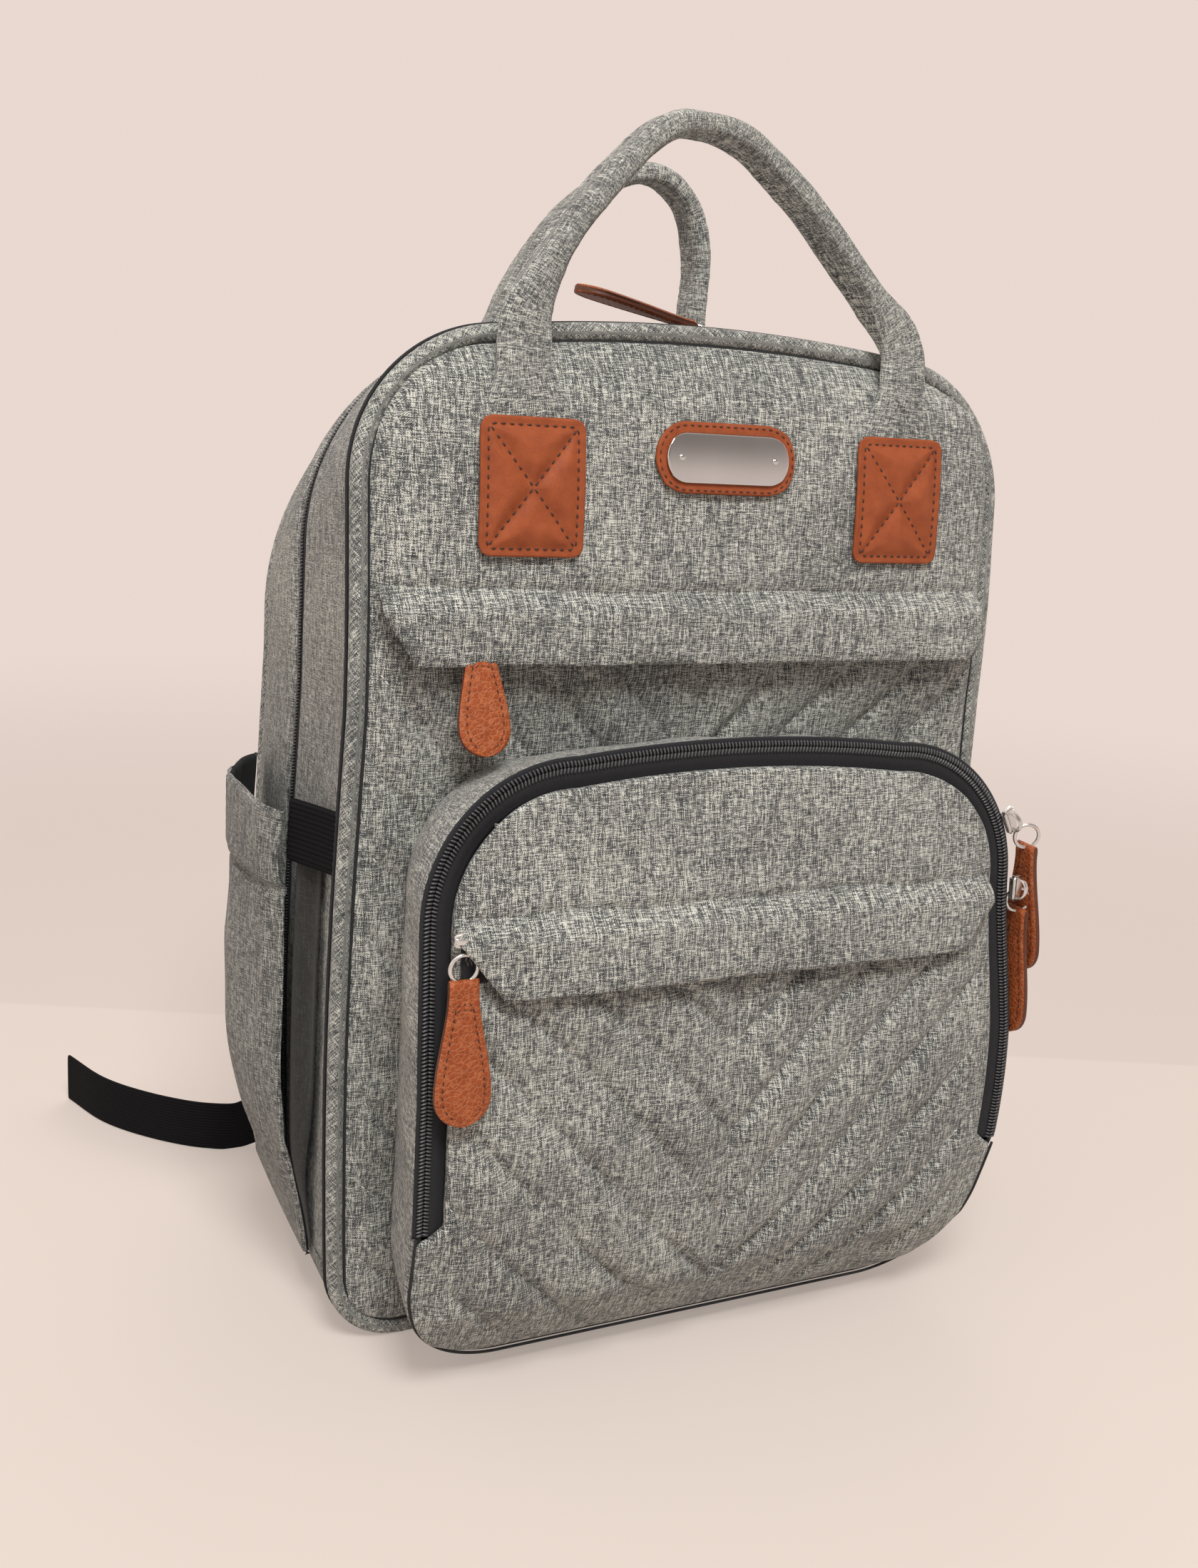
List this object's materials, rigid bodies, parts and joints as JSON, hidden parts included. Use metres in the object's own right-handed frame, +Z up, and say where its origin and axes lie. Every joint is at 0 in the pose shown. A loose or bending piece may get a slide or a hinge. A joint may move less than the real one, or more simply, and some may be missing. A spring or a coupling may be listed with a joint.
{
  "type": "diaper bag",
  "caption": "Backpack-style diaper bag in heather fabric with leather patches and pulls, zipped pockets, two carry handles and shoulder straps.",
  "frame": {"origin": "middle of the base panel's underside, on the surface the bag stands on", "axes": "+Z up, -Y out of the front, +X to the right of someone facing the front"},
  "size_m": [0.3829, 0.32, 0.485],
  "materials": {
    "heather_fabric": "grey heather twill, light and dark yarns",
    "mesh_fabric": "dark grey spacer mesh over foam",
    "brown_leather": "cognac brown, pebbled, stitched edge",
    "zip_tape": "charcoal twill tape with nylon coil",
    "black_webbing": "black ribbed webbing and elastic",
    "black_plastic": "moulded black",
    "nickel_hardware": "polished nickel plate"
  },
  "bodies": {
    "bag": {"back_panel": "mesh_fabric", "base_panel": "heather_fabric", "elastic_left": "black_webbing", "elastic_right": "black_webbing", "front_panel_lower": "heather_fabric", "front_piping_lower": "heather_fabric", "main_zip_rear": "zip_tape", "pocket_bottom": "heather_fabric", "pocket_face_lower": "heather_fabric", "pocket_gusset_left": "heather_fabric", "pocket_gusset_right": "heather_fabric", "pocket_gusset_top": "heather_fabric", "pocket_zip_coil": "zip_tape", "rear_piping": "heather_fabric", "side_panel_left": "heather_fabric", "side_panel_right": "heather_fabric", "side_pocket_left": "heather_fabric", "side_pocket_right": "heather_fabric", "strap_anchor_left": "heather_fabric", "strap_anchor_right": "heather_fabric", "strap_tail_left": "black_webbing", "strap_tail_right": "black_webbing", "strap_yoke": "heather_fabric", "top_gusset_rear": "heather_fabric"},
    "lid": {"front_panel_upper": "heather_fabric", "front_piping_upper": "heather_fabric", "top_gusset_front": "heather_fabric", "main_zip_front": "zip_tape", "handle_patch_left": "brown_leather", "handle_patch_right": "brown_leather", "badge_leather": "brown_leather", "badge_plate": "nickel_hardware", "upper_zip": "zip_tape"},
    "upper_flap": {"flap_upper": "heather_fabric"},
    "front_handle": {"front_handle": "heather_fabric"},
    "upper_slider": {"upper_slider": "nickel_hardware"},
    "upper_pull": {"upper_ring": "nickel_hardware", "upper_pull": "brown_leather"},
    "rear_handle": {"rear_handle": "heather_fabric"},
    "pocket_door": {"pocket_face": "heather_fabric", "pocket_zip_tape": "zip_tape", "lower_zip": "zip_tape"},
    "lower_flap": {"flap_lower": "heather_fabric"},
    "lower_slider": {"lower_slider": "nickel_hardware"},
    "lower_pull": {"lower_ring": "nickel_hardware", "lower_pull": "brown_leather"},
    "pocket_slider_top": {"pocket_slider_top": "nickel_hardware"},
    "pocket_pull_top": {"pocket_pull_top": "brown_leather"},
    "pocket_slider_side": {"pocket_slider_side": "nickel_hardware"},
    "pocket_pull_side": {"pocket_pull_side": "brown_leather"},
    "main_slider": {"main_slider": "nickel_hardware"},
    "main_pull": {"main_ring": "nickel_hardware", "main_pull": "brown_leather"},
    "strap_left": {"shoulder_strap_left": "heather_fabric", "strap_webbing_left": "black_webbing"},
    "strap_right": {"shoulder_strap_right": "heather_fabric", "strap_webbing_right": "black_webbing"},
    "ladder_lock_left": {"ladder_lock_left": "black_plastic"},
    "ladder_lock_right": {"ladder_lock_right": "black_plastic"}
  },
  "joints": [
    {"name": "lid_fold", "type": "hinge", "parent": "bag", "child": "lid", "pos_m": [0, -0.0728, 0.262], "axis": [1, 0, 0], "range_deg": [0, 20]},
    {"name": "upper_flap_lift", "type": "hinge", "parent": "lid", "child": "upper_flap", "pos_m": [0, -0.0835, 0.311], "axis": [-1, 0, 0], "range_deg": [0, 80]},
    {"name": "front_handle_swing", "type": "hinge", "parent": "lid", "child": "front_handle", "pos_m": [0, -0.0812, 0.3738], "axis": [1, 0, 0], "range_deg": [0, 120]},
    {"name": "upper_zip_slide", "type": "slide", "parent": "lid", "child": "upper_slider", "axis": [1, 0, 0], "range_m": [-0.003, 0]},
    {"name": "upper_pull_swing", "type": "hinge", "parent": "upper_slider", "child": "upper_pull", "pos_m": [-0.099, -0.08079, 0.2954], "axis": [0, -0.9563, 0.2924], "range_deg": [-18, 0]},
    {"name": "rear_handle_swing", "type": "hinge", "parent": "bag", "child": "rear_handle", "pos_m": [0, 0.0745, 0.3945], "axis": [-1, 0, 0], "range_deg": [0, 100]},
    {"name": "pocket_fold", "type": "hinge", "parent": "bag", "child": "pocket_door", "pos_m": [0, -0.1322, 0.078], "axis": [1, 0, 0], "range_deg": [0, 45]},
    {"name": "lower_flap_lift", "type": "hinge", "parent": "pocket_door", "child": "lower_flap", "pos_m": [0, -0.1285, 0.2005], "axis": [-1, 0, 0], "range_deg": [0, 80]},
    {"name": "lower_zip_slide", "type": "slide", "parent": "pocket_door", "child": "lower_slider", "axis": [1, 0, 0], "range_m": [0, 0.205]},
    {"name": "lower_pull_swing", "type": "hinge", "parent": "lower_slider", "child": "lower_pull", "pos_m": [-0.113, -0.12811, 0.1818], "axis": [0, -0.995, 0.0995], "range_deg": [-35, 35]},
    {"name": "pocket_zip_top_run", "type": "hinge", "parent": "bag", "child": "pocket_slider_top", "pos_m": [0.0715, -0.119, 0.1965], "axis": [0, -1, 0], "range_deg": [0, 64]},
    {"name": "pocket_pull_top_swing", "type": "hinge", "parent": "pocket_slider_top", "child": "pocket_pull_top", "pos_m": [0.1395, -0.1182, 0.214], "axis": [0.996, 0, 0.0896], "range_deg": [-40, 40]},
    {"name": "pocket_zip_side_run", "type": "slide", "parent": "bag", "child": "pocket_slider_side", "axis": [0.1093, 0, -0.994], "range_m": [0, 0.1]},
    {"name": "pocket_pull_side_swing", "type": "hinge", "parent": "pocket_slider_side", "child": "pocket_pull_side", "pos_m": [0.1382, -0.12, 0.1865], "axis": [0.999, 0, 0.045], "range_deg": [-40, 40]},
    {"name": "main_zip_run", "type": "hinge", "parent": "bag", "child": "main_slider", "pos_m": [0, 0.0122, -0.11997], "axis": [0, -1, 0], "range_deg": [0, 10.02]},
    {"name": "main_pull_swing", "type": "hinge", "parent": "main_slider", "child": "main_pull", "pos_m": [0.033, 0.0122, 0.41137], "axis": [0, 1, 0], "range_deg": [0, 150]},
    {"name": "strap_left_swing", "type": "hinge", "parent": "bag", "child": "strap_left", "pos_m": [-0.045, 0.0775, 0.345], "axis": [-0.2554, 0, -0.9668], "range_deg": [-12, 12]},
    {"name": "ladder_lock_left_slide", "type": "slide", "parent": "strap_left", "child": "ladder_lock_left", "axis": [-0.3166, -0.1407, -0.9381], "range_m": [-0.012, 0.02]},
    {"name": "strap_right_swing", "type": "hinge", "parent": "bag", "child": "strap_right", "pos_m": [0.045, 0.0775, 0.345], "axis": [0.2554, 0, -0.9668], "range_deg": [-12, 12]},
    {"name": "ladder_lock_right_slide", "type": "slide", "parent": "strap_right", "child": "ladder_lock_right", "axis": [0.3166, -0.1407, -0.9381], "range_m": [-0.012, 0.02]}
  ]
}
